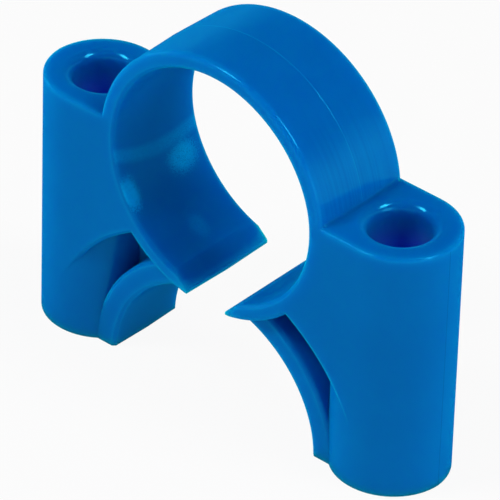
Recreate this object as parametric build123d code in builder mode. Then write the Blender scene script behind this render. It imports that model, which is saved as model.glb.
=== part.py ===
"""Conduit bracket: a one-piece moulded clip that holds a conduit on a wall between two screw towers."""

import os
from math import radians, sin, sqrt, tan

from build123d import *

# Conduit ring, all sizes in millimetres
conduit_diameter = 25.0
ring_wall = 1.7
ring_edge_round = 0.45
ring_seat_bevel = 0.3

# Whole moulding: the depth runs along the conduit, and the mould opens along it from the middle plane
bracket_depth = 12.0
draft_angle = 1.5

# Screw towers, as thick as the bracket is deep
screw_hole_diameter = 6.5
wall_hole_to_bore = 3.25
tower_above_centre = 1.9
tower_top_round = 0.3
tower_root_round = 0.55
hole_mouth_round = 1.0

# Arch under the ring, whose feet stand on the wall
arch_wall = 2.5
arch_depth = 9.4
arch_centre_drop = 0.5
arch_edge_bevel = 0.3

# Shoulders that join ring and towers, and the pockets left below them
shoulder_edge_overrun = 1.2
shoulder_edge_drop = 1.7
shoulder_edge_bevel = 0.35
pocket_web = 2.4

# Lips at the mouth of the ring
lip_gap = 5.0
lip_thickness = 1.0
lip_tip_flat = 0.4
lip_tip_round = 0.5
lip_bevel_angle = 42.0

# Sizes that follow from those above
half_depth = bracket_depth / 2
draft = tan(radians(draft_angle))
bore_radius = conduit_diameter / 2
ring_radius = bore_radius + ring_wall
ring_mid_radius = bore_radius + ring_wall / 2
hole_radius = screw_hole_diameter / 2
tower_x = bore_radius + wall_hole_to_bore + hole_radius
tower_radius = half_depth / (1 - sin(radians(draft_angle)))
tower_shift = tower_radius - half_depth
arch_radius = tower_x - half_depth
arch_outer_radius = arch_radius + arch_wall
arch_mid_radius = arch_radius + arch_wall / 2
arch_half_depth = arch_depth / 2
shoulder_edge_radius = tower_x + shoulder_edge_overrun
ring_centre_height = arch_radius - arch_centre_drop + lip_thickness + bore_radius
tower_height = ring_centre_height + tower_above_centre
root_reach = ring_radius + tower_root_round
root_rise = tower_above_centre + tower_root_round
root_x = sqrt(root_reach**2 - root_rise**2)
root_top = ring_centre_height + root_rise * ring_radius / root_reach
root_half_depth = half_depth - 2 * tower_top_round
lip_tip_height = sqrt(arch_radius**2 - (lip_gap / 2) ** 2) - arch_centre_drop

ring_axis = Axis((0, 0, ring_centre_height), (0, 1, 0))
arch_axis = Axis((0, 0, -arch_centre_drop), (0, 1, 0))


def section_plane(axis):
    """Plane through a Y axis on which a section is drawn: depth to the right, radius upwards."""
    return Plane(origin=axis.position, x_dir=(0, 1, 0), z_dir=(1, 0, 0))


def wall_section(axis, inner, outer, depth, inner_draft, outer_draft, inner_bevel, ease_outer, outer_ease):
    """Section of a round wall, thickest in the middle plane where the mould parts.

    The inner edges are bevelled, and ease_outer, a fillet or chamfer, eases the outer ones.
    """
    half = depth / 2
    with BuildSketch(section_plane(axis)) as section:
        with BuildLine():
            Polyline(
                (-half, inner),
                (0, inner - half * inner_draft),
                (half, inner),
                (half, outer),
                (0, outer + half * outer_draft),
                (-half, outer),
                close=True,
            )
        make_face()
        corners = section.vertices().filter_by(lambda corner: abs(corner.X) > half / 2)
        ease_outer(corners.group_by(Axis.Y)[-1], outer_ease)
        corners = section.vertices().filter_by(lambda corner: abs(corner.X) > half / 2)
        chamfer(corners.group_by(Axis.Y)[0], inner_bevel)
    return section.sketch


def front_web(hollow_centre_drop, hollow_radius):
    """Front outline between the two towers' axes, less the ring and a round hollow above the wall."""
    with BuildSketch(Plane.XZ) as outline:
        with Locations((0, tower_height / 2)):
            Rectangle(2 * tower_x, tower_height)
        with Locations((0, -hollow_centre_drop)):
            Circle(hollow_radius, mode=Mode.SUBTRACT)
        with Locations((0, ring_centre_height)):
            Circle(ring_mid_radius, mode=Mode.SUBTRACT)
    return outline.sketch


os.makedirs("parts", exist_ok=True)

with BuildPart() as conduit_bracket:
    # Shoulders: flat on both faces, with a bevelled edge over each pocket
    extrude(front_web(shoulder_edge_drop, shoulder_edge_radius), amount=half_depth, both=True)
    round_edges = conduit_bracket.edges().filter_by(GeomType.CIRCLE)
    chamfer(round_edges.group_by(SortBy.RADIUS)[-1], shoulder_edge_bevel)

    # Screw towers: two drafted halves that meet in a faint crease at the parting plane
    for side in (-1, 1):
        with BuildSketch(Plane.XY):
            with Locations((side * tower_x, tower_shift)):
                Circle(tower_radius)
            with Locations((side * tower_x, -tower_shift)):
                Circle(tower_radius, mode=Mode.INTERSECT)
        extrude(amount=tower_height)
    top_edges = conduit_bracket.edges().group_by(Axis.Z)[-1]
    fillet(top_edges.filter_by(Axis.Y, reverse=True), tower_top_round)

    # Ring, arch, and the thin web that closes each pocket in the middle plane
    ring_section = wall_section(
        axis=ring_axis,
        inner=bore_radius,
        outer=ring_radius,
        depth=bracket_depth,
        inner_draft=0,
        outer_draft=draft,
        inner_bevel=ring_seat_bevel,
        ease_outer=fillet,
        outer_ease=ring_edge_round,
    )
    revolve(ring_section, axis=ring_axis)
    arch_section = wall_section(
        axis=arch_axis,
        inner=arch_radius,
        outer=arch_outer_radius,
        depth=arch_depth,
        inner_draft=draft,
        outer_draft=draft,
        inner_bevel=arch_edge_bevel,
        ease_outer=chamfer,
        outer_ease=arch_edge_bevel,
    )
    revolve(arch_section, axis=arch_axis)
    extrude(front_web(arch_centre_drop, arch_mid_radius), amount=pocket_web / 2, both=True)

    # Round where each tower's top meets the ring, ending short of the rounded front and back edges
    with BuildSketch(Plane.XZ):
        with Locations((0, root_top)):
            Rectangle(2 * root_x, 2 * tower_root_round, align=(Align.CENTER, Align.MAX))
        with Locations((-root_x, tower_height + tower_root_round), (root_x, tower_height + tower_root_round)):
            Circle(tower_root_round, mode=Mode.SUBTRACT)
        with Locations((0, ring_centre_height)):
            Circle(ring_mid_radius, mode=Mode.SUBTRACT)
    extrude(amount=root_half_depth, both=True)

    # Clear the seat, the drafted hollow under the arch, and all that lies below the wall face
    with BuildSketch(Plane.XZ):
        with Locations((0, ring_centre_height)):
            Circle(bore_radius)
    extrude(amount=half_depth, both=True, mode=Mode.SUBTRACT)
    with BuildSketch(section_plane(arch_axis)):
        with BuildLine():
            face_radius = arch_radius + (half_depth - arch_half_depth) * draft
            Polyline(
                (-half_depth, 0),
                (-half_depth, face_radius),
                (0, arch_radius - arch_half_depth * draft),
                (half_depth, face_radius),
                (half_depth, 0),
                close=True,
            )
        make_face()
    revolve(axis=arch_axis, mode=Mode.SUBTRACT)
    Box(
        3 * tower_x,
        2 * bracket_depth,
        2 * arch_outer_radius,
        align=(Align.CENTER, Align.CENTER, Align.MAX),
        mode=Mode.SUBTRACT,
    )

    # Mouth of the ring: each lip is bevelled from the seat down to a narrow rounded tip
    with BuildSketch(Plane.XZ) as mouth:
        bevel_start = lip_tip_height + lip_tip_flat
        bevel_end = bevel_start + lip_gap * tan(radians(lip_bevel_angle))
        with BuildLine():
            Polyline(
                (-lip_gap / 2, 0),
                (-lip_gap / 2, bevel_start),
                (-lip_gap * 3 / 2, bevel_end),
                (lip_gap * 3 / 2, bevel_end),
                (lip_gap / 2, bevel_start),
                (lip_gap / 2, 0),
                close=True,
            )
        make_face()
        fillet(mouth.vertices().group_by(Axis.Y)[1], lip_tip_round)
    extrude(amount=half_depth, both=True, mode=Mode.SUBTRACT)

    # Screw holes with softly rounded mouths
    with Locations((-tower_x, 0, tower_height), (tower_x, 0, tower_height)):
        Hole(hole_radius)
    rims = conduit_bracket.edges(Select.LAST).group_by(Axis.Z)[-1]
    fillet(rims, hole_mouth_round)

conduit_bracket.part.label = "conduit_bracket"
export_step(conduit_bracket.part, "parts/conduit_bracket.step")
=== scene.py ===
"""Looks of a moulded conduit bracket: glossy, slightly translucent blue plastic in a white studio."""

import logging
import math
from dataclasses import dataclass
from enum import Enum
from functools import cached_property
from typing import Any

import bpy
import numpy as np
from mathutils import Matrix, Vector

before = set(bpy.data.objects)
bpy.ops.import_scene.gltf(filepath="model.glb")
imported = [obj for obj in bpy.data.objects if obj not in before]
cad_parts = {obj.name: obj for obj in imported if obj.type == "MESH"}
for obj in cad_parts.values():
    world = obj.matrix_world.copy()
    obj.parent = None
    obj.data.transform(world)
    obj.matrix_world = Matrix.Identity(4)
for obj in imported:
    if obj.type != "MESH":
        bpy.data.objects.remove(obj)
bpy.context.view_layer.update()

MM = 0.001

log = logging.getLogger("conduit_bracket")

Point = tuple[float, float, float]
Colour = tuple[float, float, float]
Settings = dict[str, Any]
Inputs = dict[str | int, Any]


def opaque(colour: Colour) -> tuple[float, float, float, float]:
    """A colour with the alpha that colour sockets ask for."""
    return (*colour, 1.0)


class Value:
    """A number that changes over a surface: a socket whose arithmetic adds Math nodes."""

    def __init__(self, graph: "Graph", socket: bpy.types.NodeSocket) -> None:
        """Keep the socket and the graph that it belongs to."""
        self.graph = graph
        self.socket = socket

    def maths(self, operation: str, *operands: "Value | float") -> "Value":
        """Add one Math node.

        Args:
            operation: Blender's name of the operation.
            operands: The node's inputs in order.

        Returns:
            The node's result.
        """
        return self.graph.value("ShaderNodeMath", {"operation": operation}, dict(enumerate(operands)))

    def __add__(self, other: "Value | float") -> "Value":
        """Sum."""
        return self.maths("ADD", self, other)

    def __sub__(self, other: "Value | float") -> "Value":
        """Difference."""
        return self.maths("SUBTRACT", self, other)

    def __rsub__(self, other: "Value | float") -> "Value":
        """Difference from a number."""
        return self.maths("SUBTRACT", other, self)

    def __mul__(self, other: "Value | float") -> "Value":
        """Product."""
        return self.maths("MULTIPLY", self, other)

    def __pow__(self, other: "Value | float") -> "Value":
        """Power."""
        return self.maths("POWER", self, other)

    def __abs__(self) -> "Value":
        """Size without its sign."""
        return self.maths("ABSOLUTE", self)

    def larger(self, other: "Value | float") -> "Value":
        """The larger of two values."""
        return self.maths("MAXIMUM", self, other)

    def rise(self, start: float, end: float) -> "Value":
        """A soft step up.

        Args:
            start: Where the step leaves zero.
            end: Where it reaches one.

        Returns:
            The smooth step between the two.
        """
        return self.graph.value(
            "ShaderNodeMapRange",
            {"interpolation_type": "SMOOTHSTEP"},
            {"Value": self, "From Min": start, "From Max": end},
        )

    def fall(self, start: float, end: float) -> "Value":
        """A soft step down, from one at the start to zero at the end."""
        return 1 - self.rise(start, end)

    __radd__ = __add__
    __rmul__ = __mul__


class Graph:
    """The node tree of a material or a world, filled one node at a time."""

    def __init__(self, owner: bpy.types.Material | bpy.types.World) -> None:
        """Start from an empty tree."""
        owner.use_nodes = True
        self.tree = owner.node_tree
        self.tree.nodes.clear()

    def node(
        self,
        kind: str,
        settings: Settings | None = None,
        inputs: Inputs | None = None,
    ) -> bpy.types.Node:
        """Add a node.

        Args:
            kind: Blender's name of the node's type.
            settings: Properties of the node, set before its sockets.
            inputs: A number, colour, value or socket for each input that isn't left as it is.

        Returns:
            The new node.
        """
        node = self.tree.nodes.new(kind)
        for name, setting in (settings or {}).items():
            setattr(node, name, setting)
        for name, given in (inputs or {}).items():
            source = given.socket if isinstance(given, Value) else given
            if isinstance(source, bpy.types.NodeSocket):
                self.tree.links.new(source, node.inputs[name])
            else:
                node.inputs[name].default_value = source
        return node

    def value(self, kind: str, settings: Settings | None = None, inputs: Inputs | None = None) -> Value:
        """Add a node and wrap its first output."""
        return Value(self, self.node(kind, settings, inputs).outputs[0])

    def place(self) -> tuple[bpy.types.NodeSocket, Value, Value, Value]:
        """Read where a point of the surface lies.

        Returns:
            The Object coordinate, and its x, y and z in metres.
        """
        place = self.node("ShaderNodeTexCoord").outputs["Object"]
        axes = self.node("ShaderNodeSeparateXYZ", inputs={"Vector": place}).outputs
        return place, Value(self, axes["X"]), Value(self, axes["Y"]), Value(self, axes["Z"])

    def vector(self, x: Value, y: Value, z: Value) -> bpy.types.NodeSocket:
        """Join three values in one vector."""
        return self.node("ShaderNodeCombineXYZ", None, {"X": x, "Y": y, "Z": z}).outputs[0]

    def noise(self, place: bpy.types.NodeSocket, pitch: float, detail: float) -> Value:
        """Cloudy noise about zero.

        Args:
            place: Coordinate that the noise is read at.
            pitch: Size of a cloud in metres.
            detail: Number of finer layers.

        Returns:
            A value from about -0.5 to 0.5.
        """
        inputs = {"Vector": place, "Scale": 1 / pitch, "Detail": detail}
        return self.value("ShaderNodeTexNoise", None, inputs) - 0.5

    def blend(self, factor: Value, first: Any, second: Any) -> bpy.types.NodeSocket:
        """Mix two colours.

        Args:
            factor: Share of the second colour.
            first: Colour or socket where the factor is zero.
            second: Colour or socket where the factor is one.

        Returns:
            The mixed colour.
        """
        inputs = {"Factor": factor, 6: first, 7: second}
        return self.node("ShaderNodeMix", {"data_type": "RGBA"}, inputs).outputs[2]

    def mix(self, factor: Value, first: bpy.types.Node, second: bpy.types.Node) -> bpy.types.NodeSocket:
        """Mix two shaders, the factor being the share of the second."""
        inputs = {0: factor, 1: first.outputs[0], 2: second.outputs[0]}
        return self.node("ShaderNodeMixShader", None, inputs).outputs[0]


@dataclass(frozen=True)
class BracketSizes:
    """Sizes of the CAD bracket that its finish follows, and the widths of the masks' soft borders."""

    seat_radius: float = 12.5 * MM
    seat_centre_height: float = 26.0 * MM
    ring_inner_edge: float = 13.2 * MM
    ring_half_depth: float = 5.55 * MM
    tower_height: float = 27.9 * MM
    tower_x: float = 19.0 * MM
    tower_end: float = 23.5 * MM
    hole_radius: float = 3.25 * MM
    mouth_radius: float = 4.3 * MM
    sharp_border: float = 0.2 * MM
    soft_border: float = 0.3 * MM
    broad_border: float = 0.5 * MM
    seat_slack: float = 0.05 * MM
    left_border: float = 3.0 * MM


class Regions:
    """Where a point of the surface lies on the bracket: its place, and masks from zero to one."""

    def __init__(self, graph: Graph, sizes: BracketSizes) -> None:
        """Read the point's place."""
        self.sizes = sizes
        self.place, self.x, self.y, self.z = graph.place()

    @cached_property
    def above_seat(self) -> Value:
        """Height above the seat's axis."""
        return self.z - self.sizes.seat_centre_height

    @cached_property
    def from_seat(self) -> Value:
        """Distance from the seat's axis."""
        return (self.x**2 + self.above_seat**2) ** 0.5

    @cached_property
    def around_seat(self) -> Value:
        """Way around the seat's axis, measured at the ring."""
        return self.x.maths("ARCTAN2", self.x, self.above_seat) * self.sizes.ring_inner_edge

    @cached_property
    def from_hole(self) -> Value:
        """Distance from the nearer screw hole's axis."""
        return ((abs(self.x) - self.sizes.tower_x) ** 2 + self.y**2) ** 0.5

    def above_towers(self, start: float, end: float) -> Value:
        """A soft step up between two heights, which count from the towers' tops."""
        return self.z.rise(self.sizes.tower_height + start, self.sizes.tower_height + end)

    @cached_property
    def beyond_seat(self) -> Value:
        """All that lies further from the seat's axis than the ring's inner edge."""
        edge = self.sizes.ring_inner_edge
        return self.from_seat.rise(edge, edge + self.sizes.sharp_border)

    @cached_property
    def ring(self) -> Value:
        """The ring's outside and the outer part of its faces, clear of the towers."""
        border = self.sizes.soft_border
        return self.beyond_seat * self.above_towers(border, 2 * border)

    @cached_property
    def ring_outside(self) -> Value:
        """The ring's outside alone, down to the towers' tops."""
        border = self.sizes.soft_border
        depth = self.sizes.ring_half_depth
        outside = self.beyond_seat * self.above_towers(0.0, border)
        return outside * abs(self.y).fall(depth - border, depth)

    @cached_property
    def seat(self) -> Value:
        """The wall that holds the conduit."""
        radius = self.sizes.seat_radius
        return self.from_seat.fall(radius + self.sizes.seat_slack, radius + self.sizes.sharp_border)

    @cached_property
    def left_half(self) -> Value:
        """The half of the bracket with negative x."""
        return self.x.fall(-self.sizes.left_border, 0.0)

    @cached_property
    def tower_ends(self) -> Value:
        """The outer ends of both towers, below the round of their top edge."""
        end = self.sizes.tower_end
        top_round = self.above_towers(-0.4 * MM, -0.1 * MM)
        return abs(self.x).rise(end, end + self.sizes.broad_border) * (1 - top_round)

    @cached_property
    def hole_walls(self) -> Value:
        """The walls of the screw holes."""
        radius = self.sizes.hole_radius
        return self.from_hole.fall(radius, radius + self.sizes.sharp_border)

    @cached_property
    def hole_mouths(self) -> Value:
        """The screw holes with their rounded mouths."""
        radius = self.sizes.mouth_radius
        return self.from_hole.fall(radius - self.sizes.soft_border, radius)


@dataclass(frozen=True)
class DullSheenSpot:
    """A rough oval on the left wall of the seat whose pale colour is a painted sheen, with its middle, half
    sizes and strength.
    """

    y: float
    z: float
    half_width: float
    half_height: float
    strength: float
    fade_start: float = 0.5
    fade_end: float = 1.1

    def mask(self, regions: Regions, fray: Value) -> Value:
        """Cover the oval.

        Args:
            regions: Where the point lies.
            fray: Noise that breaks up the outline.

        Returns:
            The spot's strength in its middle, falling to zero past its outline.
        """
        across = (regions.y - self.y) * (1 / self.half_width)
        upward = (regions.z - self.z) * (1 / self.half_height)
        reach = (across**2 + upward**2) ** 0.5
        return (reach + fray).fall(self.fade_start, self.fade_end) * self.strength


@dataclass(frozen=True)
class SheenBand:
    """A painted sheen: a pale band across the left wall of the seat, which bends upwards towards the front.
    """

    height: float = 22.2 * MM
    lowest_y: float = 1.5 * MM
    bend: float = 0.03 / MM
    half_width: float = 1.1 * MM
    core: float = 0.2
    strength: float = 0.35

    def mask(self, regions: Regions) -> Value:
        """Cover the band, whose middle is a parabola in y: height + bend (y - lowest y) squared."""
        middle = (regions.y - self.lowest_y) ** 2 * self.bend + self.height
        away = abs(regions.z - middle)
        return away.fall(self.core * self.half_width, self.half_width) * self.strength


@dataclass(frozen=True)
class MouldedSkin:
    """Fine relief of the plastic's skin, and the line that the mould left in its parting plane, y = 0."""

    wave_pitch: float = 5 * MM
    wave_height: float = 0.012 * MM
    wave_detail: float = 2.0
    grain_pitch: float = 0.12 * MM
    grain_height: float = 0.0006 * MM
    grain_detail: float = 2.0
    haze_pitch: float = 12.5 * MM
    haze_detail: float = 4.0
    polish_pitch: float = 0.35 * MM
    polish_height: float = 0.006 * MM
    polish_detail: float = 3.0
    polish_stretch: float = 0.02
    polish_fade_start: float = 2.6 * MM
    polish_fade_end: float = 10.6 * MM
    seam_half_width: float = 0.07 * MM
    seam_core: float = 0.3
    seam_height: float = 0.012 * MM
    soft_edge: float = 0.35 * MM
    edge_samples: int = 8

    def grain(self, graph: Graph, regions: Regions) -> Value:
        """Fine grain all over."""
        return graph.noise(regions.place, self.grain_pitch, self.grain_detail)

    def haze(self, graph: Graph, regions: Regions) -> Value:
        """Broad clouds all over, in which colour and roughness drift."""
        return graph.noise(regions.place, self.haze_pitch, self.haze_detail)

    def polish(self, graph: Graph, regions: Regions) -> Value:
        """Polish lines around the ring: noise drawn out along it, fading above the towers.

        They bump the surface, and their pale streaks in the colour are a painted reflection.

        Args:
            graph: Node tree that is filled.
            regions: Where the point lies.

        Returns:
            Noise about zero on the ring near the towers, and zero elsewhere.
        """
        along_ring = graph.vector(regions.from_seat, regions.y, regions.around_seat * self.polish_stretch)
        lines = graph.noise(along_ring, self.polish_pitch, self.polish_detail)
        faded = regions.above_towers(self.polish_fade_start, self.polish_fade_end)
        return lines * regions.ring * (1 - faded)

    def parting_line(self, regions: Regions) -> Value:
        """The fine line in the parting plane."""
        return abs(regions.y).fall(self.seam_core * self.seam_half_width, self.seam_half_width)

    def normal(
        self,
        graph: Graph,
        regions: Regions,
        grain: Value,
        polish: Value,
        line: Value,
    ) -> bpy.types.NodeSocket:
        """Add up the heights and bump the softened edges with them.

        Args:
            graph: Node tree that is filled.
            regions: Where the point lies.
            grain: Fine grain.
            polish: Polish lines.
            line: Mask of the parting line.

        Returns:
            The surface's normal.
        """
        waves = graph.noise(regions.place, self.wave_pitch, self.wave_detail)
        seam = line * regions.ring.larger(regions.tower_ends)
        height = waves * self.wave_height + grain * self.grain_height
        height = height + polish * self.polish_height + seam * self.seam_height
        edges = graph.node("ShaderNodeBevel", {"samples": self.edge_samples}, {"Radius": self.soft_edge})
        relief = {"Strength": 1.0, "Distance": 1.0, "Height": height, "Normal": edges.outputs[0]}
        return graph.node("ShaderNodeBump", None, relief).outputs[0]


@dataclass(frozen=True)
class BluePlastic:
    """Glossy blue moulded plastic that lets a little light through.

    The colour drifts a little, and light is painted into it: paler where the plastic is thin, for light that
    shines through; pale streaks along the ring's polish lines and pale spots and a band on the seat, a
    painted sheen, where the seat is also rougher; a pale line along the ring's seam, a painted highlight;
    and a brighter blue deep in the screw holes, which lifts their shade. A tinted film gives the gloss:
    strongest on the ring's outside and the holes' mouths, weakest on the seat.
    """

    colour: Colour = (0.0, 0.12, 0.455)
    pale: Colour = (0.0, 0.152, 0.505)
    pale_start: float = 0.4
    pale_by_haze: float = 1.2
    sheen_by_polish: float = 2.0
    # Painted light: where the plastic is thin it is painted paler, standing in for light that shines through
    # it.
    thin_glow: Colour = (0.0, 0.24, 0.56)
    thin_depth: float = 1.2 * MM
    thin_start: float = 0.05
    thin_end: float = 0.75
    thin_samples: int = 8
    tower_seam: Colour = (0.0, 0.075, 0.30)
    tower_seam_share: float = 0.7
    # Painted highlight: the parting line on the ring is painted as a pale line.
    ring_seam_highlight: Colour = (0.0, 0.26, 0.6)
    ring_seam_highlight_share: float = 0.5
    # Painted light: deep in the screw holes a brighter, bluer colour lifts their shade.
    hole_glow: Colour = (0.05, 0.14, 0.8)
    hole_glow_full: float = -5.9 * MM
    hole_glow_start: float = -1.4 * MM
    # Painted sheen: the rough spots and the band on the seat are painted in this pale colour.
    dull_sheen: Colour = (0.0, 0.38, 0.8)
    dull_level: float = 0.9
    dull_speckle: float = 2.4
    dull_fray_by_haze: float = 1.5
    dull_fray_by_grain: float = 1.8
    dull_roughness: float = 0.2
    dull_sheen_spots: tuple[DullSheenSpot, ...] = (
        DullSheenSpot(y=2.7 * MM, z=20.3 * MM, half_width=2.4 * MM, half_height=1.6 * MM, strength=0.85),
        DullSheenSpot(y=-5.0 * MM, z=19.7 * MM, half_width=1.4 * MM, half_height=1.9 * MM, strength=1.1),
        DullSheenSpot(y=0.2 * MM, z=15.4 * MM, half_width=1.2 * MM, half_height=0.8 * MM, strength=0.2),
    )
    sheen_band: SheenBand = SheenBand()
    roughness: float = 0.15
    roughness_spread: float = 0.06
    gloss: float = 0.045
    seat_gloss: float = 0.02
    ring_gloss: float = 0.08
    mouth_gloss: float = 0.085
    gloss_tint: Colour = (0.03, 0.68, 0.96)
    glow_depth: float = 4 * MM
    glow_reach: Point = (0.05, 0.75, 1.0)
    skin: MouldedSkin = MouldedSkin()

    def dullness_and_sheen(self, regions: Regions, haze: Value, grain: Value) -> Value:
        """Rough spots and the pale band on the left wall of the seat, whose pale colour is a painted sheen.

        Args:
            regions: Where the point lies.
            haze: Broad clouds.
            grain: Fine grain.

        Returns:
            About one on the rough spots and the band, which are painted as a sheen, and zero off the seat.
        """
        fray = haze * self.dull_fray_by_haze + grain * self.dull_fray_by_grain
        dull_sheen = self.sheen_band.mask(regions)
        for spot in self.dull_sheen_spots:
            dull_sheen = dull_sheen.larger(spot.mask(regions, fray))
        return dull_sheen * (grain * self.dull_speckle + self.dull_level) * regions.seat * regions.left_half

    def thinness(self, graph: Graph) -> Value:
        """The plastic's thinness: the share of short rays into the solid that leave it again."""
        settings = {"inside": True, "only_local": True, "samples": self.thin_samples}
        solid = graph.node("ShaderNodeAmbientOcclusion", settings, {"Distance": self.thin_depth})
        return (1 - Value(graph, solid.outputs["AO"])).rise(self.thin_start, self.thin_end)

    def base_colour(
        self,
        graph: Graph,
        regions: Regions,
        paleness: Value,
        dull_sheen: Value,
        line: Value,
    ) -> bpy.types.NodeSocket:
        """Lay the colours over one another.

        Args:
            graph: Node tree that is filled.
            regions: Where the point lies.
            paleness: Share of the pale colour.
            dull_sheen: Mask of the rough spots and the band, which are painted pale as a sheen.
            line: Mask of the parting line.

        Returns:
            The body's colour.
        """
        # Painted light: the screw holes' walls grow brighter and bluer with depth, lifting their shade.
        depth = 1 - regions.above_towers(self.hole_glow_full, self.hole_glow_start)
        layers = (
            # Painted light: paler where the plastic is thin, for light shining through it.
            (self.thinness(graph), self.thin_glow),
            # Painted sheen on the seat's rough spots and band.
            (dull_sheen, self.dull_sheen),
            # Painted light deep in the screw holes.
            (regions.hole_walls * depth, self.hole_glow),
            (line * regions.tower_ends * self.tower_seam_share, self.tower_seam),
            # Painted highlight along the ring's seam.
            (line * regions.ring * self.ring_seam_highlight_share, self.ring_seam_highlight),
        )
        colour = graph.blend(paleness, opaque(self.colour), opaque(self.pale))
        for share, layer in layers:
            colour = graph.blend(share, colour, opaque(layer))
        return colour

    def film_share(self, regions: Regions) -> Value:
        """How much of the surface's look is the gloss film."""
        on_seat = regions.seat * (self.seat_gloss - self.gloss)
        on_ring = regions.ring_outside * (self.ring_gloss - self.gloss)
        on_mouths = regions.hole_mouths * (self.mouth_gloss - self.gloss)
        return on_seat + on_ring + on_mouths + self.gloss

    def material(self, sizes: BracketSizes) -> bpy.types.Material:
        """Make the finish.

        Args:
            sizes: Sizes that the finish follows.

        Returns:
            A material that reads Object coordinates.
        """
        material = bpy.data.materials.new("blue_plastic")
        graph = Graph(material)
        regions = Regions(graph, sizes)
        grain = self.skin.grain(graph, regions)
        haze = self.skin.haze(graph, regions)
        polish = self.skin.polish(graph, regions)
        line = self.skin.parting_line(regions)
        dull_sheen = self.dullness_and_sheen(regions, haze, grain)
        # The polish lines' share is a painted reflection: pale streaks along the ring; the haze's share is
        # the colour's own drift.
        paleness = haze * self.pale_by_haze + polish * self.sheen_by_polish + self.pale_start
        roughness = haze * self.roughness_spread + dull_sheen * self.dull_roughness + self.roughness
        normal = self.skin.normal(graph, regions, grain, polish, line)
        body = graph.node(
            "ShaderNodeBsdfPrincipled",
            {"subsurface_method": "RANDOM_WALK"},
            {
                "Base Color": self.base_colour(graph, regions, paleness.rise(0.0, 1.0), dull_sheen, line),
                "Roughness": roughness,
                "Specular IOR Level": 0.0,
                "Subsurface Weight": 1.0,
                "Subsurface Radius": self.glow_reach,
                "Subsurface Scale": self.glow_depth,
                "Normal": normal,
            },
        )
        shine = {"Color": opaque(self.gloss_tint), "Roughness": roughness, "Normal": normal}
        film = graph.node("ShaderNodeBsdfGlossy", None, shine)
        surface = graph.mix(self.film_share(regions), body, film)
        graph.node("ShaderNodeOutputMaterial", None, {"Surface": surface})
        return material


class Seen(Enum):
    """Kinds of ray to which the white table shows its lightened look."""

    CAMERA = "Is Camera Ray"
    GLOSSY = "Is Glossy Ray"
    TRANSMISSION = "Is Transmission Ray"


@dataclass(frozen=True)
class WhiteFloor:
    """Matt white table that keeps a light shadow near the object and fades into the white surroundings."""

    colour: Colour = (0.65, 0.65, 0.65)
    whiteness: float = 0.93
    fade_start: float = 0.12
    fade_end: float = 0.6

    def material(self) -> bpy.types.Material:
        """Make the finish.

        Returns:
            A material that glows plain white far from the object, and partly where it is looked at.
        """
        material = bpy.data.materials.new("white_floor")
        graph = Graph(material)
        _, x, y, _ = graph.place()
        far = ((x**2 + y**2) ** 0.5).rise(self.fade_start, self.fade_end)
        rays = graph.node("ShaderNodeLightPath").outputs
        camera, glossy, through = (Value(graph, rays[kind.value]) for kind in Seen)
        glow = far.larger(camera.larger(glossy).larger(through) * self.whiteness)
        matt = graph.node("ShaderNodeBsdfDiffuse", None, {"Color": opaque(self.colour)})
        white = graph.node("ShaderNodeEmission", None, {"Strength": 1.0})
        graph.node("ShaderNodeOutputMaterial", None, {"Surface": graph.mix(glow, matt, white)})
        return material


@dataclass(frozen=True)
class Bracket:
    """The moulded bracket, whose shape is the CAD node's own."""

    node_name: str = "conduit_bracket"
    sizes: BracketSizes = BracketSizes()
    finish: BluePlastic = BluePlastic()

    def dress(self) -> bpy.types.Object:
        """Give the node its finish.

        Returns:
            The dressed CAD node.
        """
        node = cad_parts[self.node_name]
        node.data.materials.clear()
        node.data.materials.append(self.finish.material(self.sizes))
        return node


@dataclass(frozen=True)
class SoftBox:
    """A studio lamp that points at the object, with its place and size in metres and its power in watts."""

    name: str
    place: Point
    width: float
    height: float
    power: float

    def build(self, aim: Vector) -> bpy.types.Object:
        """Hang the lamp.

        Args:
            aim: Point that the lamp faces.

        Returns:
            The lamp.
        """
        lamp = bpy.data.lights.new(self.name, "AREA")
        lamp.shape = "RECTANGLE"
        lamp.size = self.width
        lamp.size_y = self.height
        lamp.energy = self.power
        holder = bpy.data.objects.new(self.name, lamp)
        turn = (Vector(self.place) - aim).to_track_quat("Z", "Y")
        holder.matrix_world = Matrix.Translation(self.place) @ turn.to_matrix().to_4x4()
        bpy.context.scene.collection.objects.link(holder)
        return holder


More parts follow.
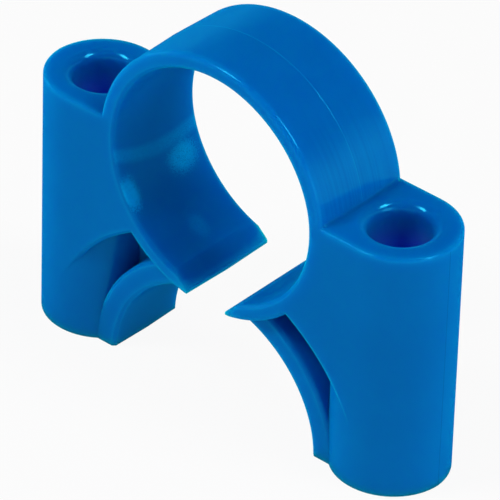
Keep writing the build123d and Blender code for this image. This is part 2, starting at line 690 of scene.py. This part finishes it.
@dataclass(frozen=True)
class Studio:
    """White table, soft boxes, pale surroundings and the camera at the photograph's viewing angle."""

    wall_light: float = 1.15
    ceiling_light: float = 0.05
    ceiling_height: float = 0.5
    floor_radius: float = 3.0
    floor_rings: int = 12
    floor_turns: int = 96
    floor_drop: float = 0.05 * MM
    floor_finish: WhiteFloor = WhiteFloor()
    aim: Point = (0.001527, -0.001365, 0.017111)
    azimuth: float = 40.312
    elevation: float = 35.079
    roll: float = 1.805
    distance: float = 0.59002
    lens: float = 437.8
    sensor_width: float = 36.0
    sight: float = 10.0
    lamps: tuple[SoftBox, ...] = (
        SoftBox("left_box", place=(-0.26, -0.38, 0.55), width=0.18, height=0.3, power=2.3),
        SoftBox("right_box", place=(0.40, 0.12, 0.57), width=0.18, height=0.3, power=1.9),
        SoftBox("right_fill", place=(0.6, -0.06, 0.16), width=0.3, height=0.3, power=0.72),
        SoftBox("left_fill", place=(-0.58, -0.12, 0.16), width=0.3, height=0.3, power=0.62),
    )

    def build_floor(self) -> bpy.types.Object:
        """Lay the table: a disc of rings, each point at (r cos t, r sin t) for growing radii r.

        Returns:
            The floor.
        """
        radii = self.floor_radius * np.linspace(0.0, 1.0, self.floor_rings + 1)[1:] ** 2
        turns = np.linspace(0.0, 2 * np.pi, self.floor_turns + 1)[:-1]
        r, t = np.meshgrid(radii, turns, indexing="ij")
        points = np.stack([r * np.cos(t), r * np.sin(t), np.full_like(r, -self.floor_drop)], axis=-1)
        index = np.arange(r.size).reshape(r.shape)
        onward = np.roll(index, -1, axis=1)
        quads = np.stack([index[:-1], index[1:], onward[1:], onward[:-1]], axis=-1).reshape(-1, 4)
        mesh = bpy.data.meshes.new("floor")
        mesh.from_pydata(points.reshape(-1, 3).tolist(), [], [index[0].tolist(), *quads.tolist()])
        mesh.materials.append(self.floor_finish.material())
        floor = bpy.data.objects.new("floor", mesh)
        bpy.context.scene.collection.objects.link(floor)
        return floor

    def build_surroundings(self) -> bpy.types.World:
        """Surround the table with white walls that darken towards the ceiling.

        Returns:
            The world.
        """
        world = bpy.data.worlds.new("studio")
        graph = Graph(world)
        direction = graph.node("ShaderNodeTexCoord").outputs["Generated"]
        axes = graph.node("ShaderNodeSeparateXYZ", None, {"Vector": direction}).outputs
        white = opaque((1.0, 1.0, 1.0))
        wall, ceiling = (
            graph.node("ShaderNodeBackground", None, {"Color": white, "Strength": light})
            for light in (self.wall_light, self.ceiling_light)
        )
        upward = Value(graph, axes["Z"]).rise(0.0, self.ceiling_height)
        graph.node("ShaderNodeOutputWorld", None, {"Surface": graph.mix(upward, wall, ceiling)})
        bpy.context.scene.world = world
        return world

    def build_camera(self) -> bpy.types.Object:
        """Set the camera up.

        Returns:
            The camera, which is also the scene's.
        """
        camera = bpy.data.cameras.new("camera")
        camera.lens = self.lens
        camera.sensor_width = self.sensor_width
        camera.clip_end = self.sight
        around = math.radians(self.azimuth)
        up = math.radians(self.elevation)
        back = Vector((math.sin(around) * math.cos(up), -math.cos(around) * math.cos(up), math.sin(up)))
        roll = Matrix.Rotation(math.radians(self.roll), 4, "Z")
        turn = back.to_track_quat("Z", "Y").to_matrix().to_4x4() @ roll
        holder = bpy.data.objects.new("camera", camera)
        holder.matrix_world = Matrix.Translation(Vector(self.aim) + back * self.distance) @ turn
        bpy.context.scene.collection.objects.link(holder)
        bpy.context.scene.camera = holder
        return holder

    def build(self) -> None:
        """Build floor, lamps, surroundings and camera."""
        pieces = [self.build_floor(), self.build_surroundings(), self.build_camera()]
        pieces += [lamp.build(Vector(self.aim)) for lamp in self.lamps]
        for piece in pieces:
            log.info("studio: %s", piece.name)
        bpy.context.scene.view_settings.view_transform = "Standard"


def main() -> None:
    """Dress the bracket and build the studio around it."""
    logging.basicConfig(level=logging.INFO, format="%(name)s: %(message)s")
    node = Bracket().dress()
    log.info("piece: %s, %d faces", node.name, len(node.data.polygons))
    Studio().build()


if __name__ == "__main__":
    main()
